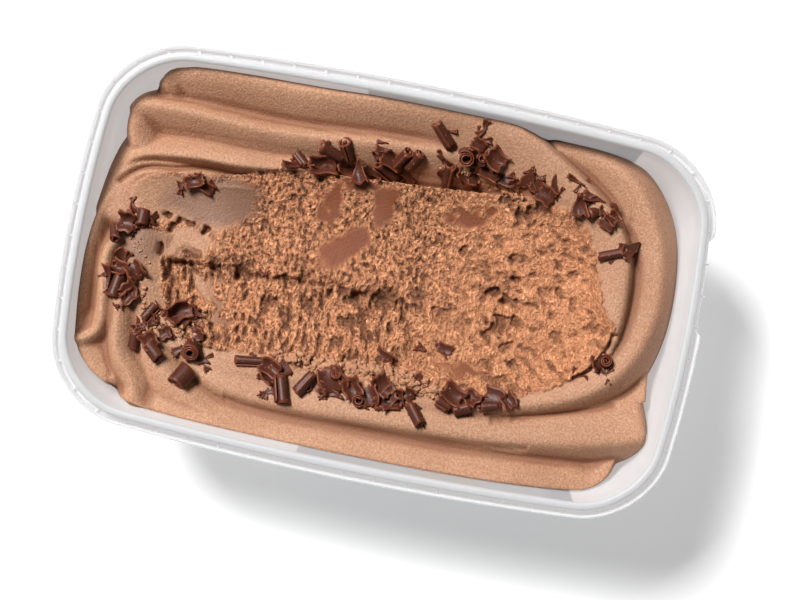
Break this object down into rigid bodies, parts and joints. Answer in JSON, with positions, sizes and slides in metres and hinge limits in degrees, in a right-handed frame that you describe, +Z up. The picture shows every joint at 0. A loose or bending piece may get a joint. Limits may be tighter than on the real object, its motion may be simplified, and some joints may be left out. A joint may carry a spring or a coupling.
{
  "type": "tub of ice cream",
  "caption": "Rectangular white plastic tub of chocolate ice cream with soft folds, a long scooped trench and chocolate curls on top, shown open without its lid.",
  "frame": {"origin": "middle of the tub's bounding box, at the height of the foot it stands on", "axes": "+X along the tub's length, towards the short side with the finger gap in the fence; +Y across; +Z up"},
  "size_m": [0.19, 0.1194, 0.072],
  "materials": {
    "tub": "translucent white moulded plastic, satin",
    "ice_cream": "milk chocolate ice cream, soft folds and scraped grain, with dark chocolate curls"
  },
  "bodies": {
    "root": {"tub": "tub", "ice_cream": "ice_cream"}
  },
  "joints": []
}
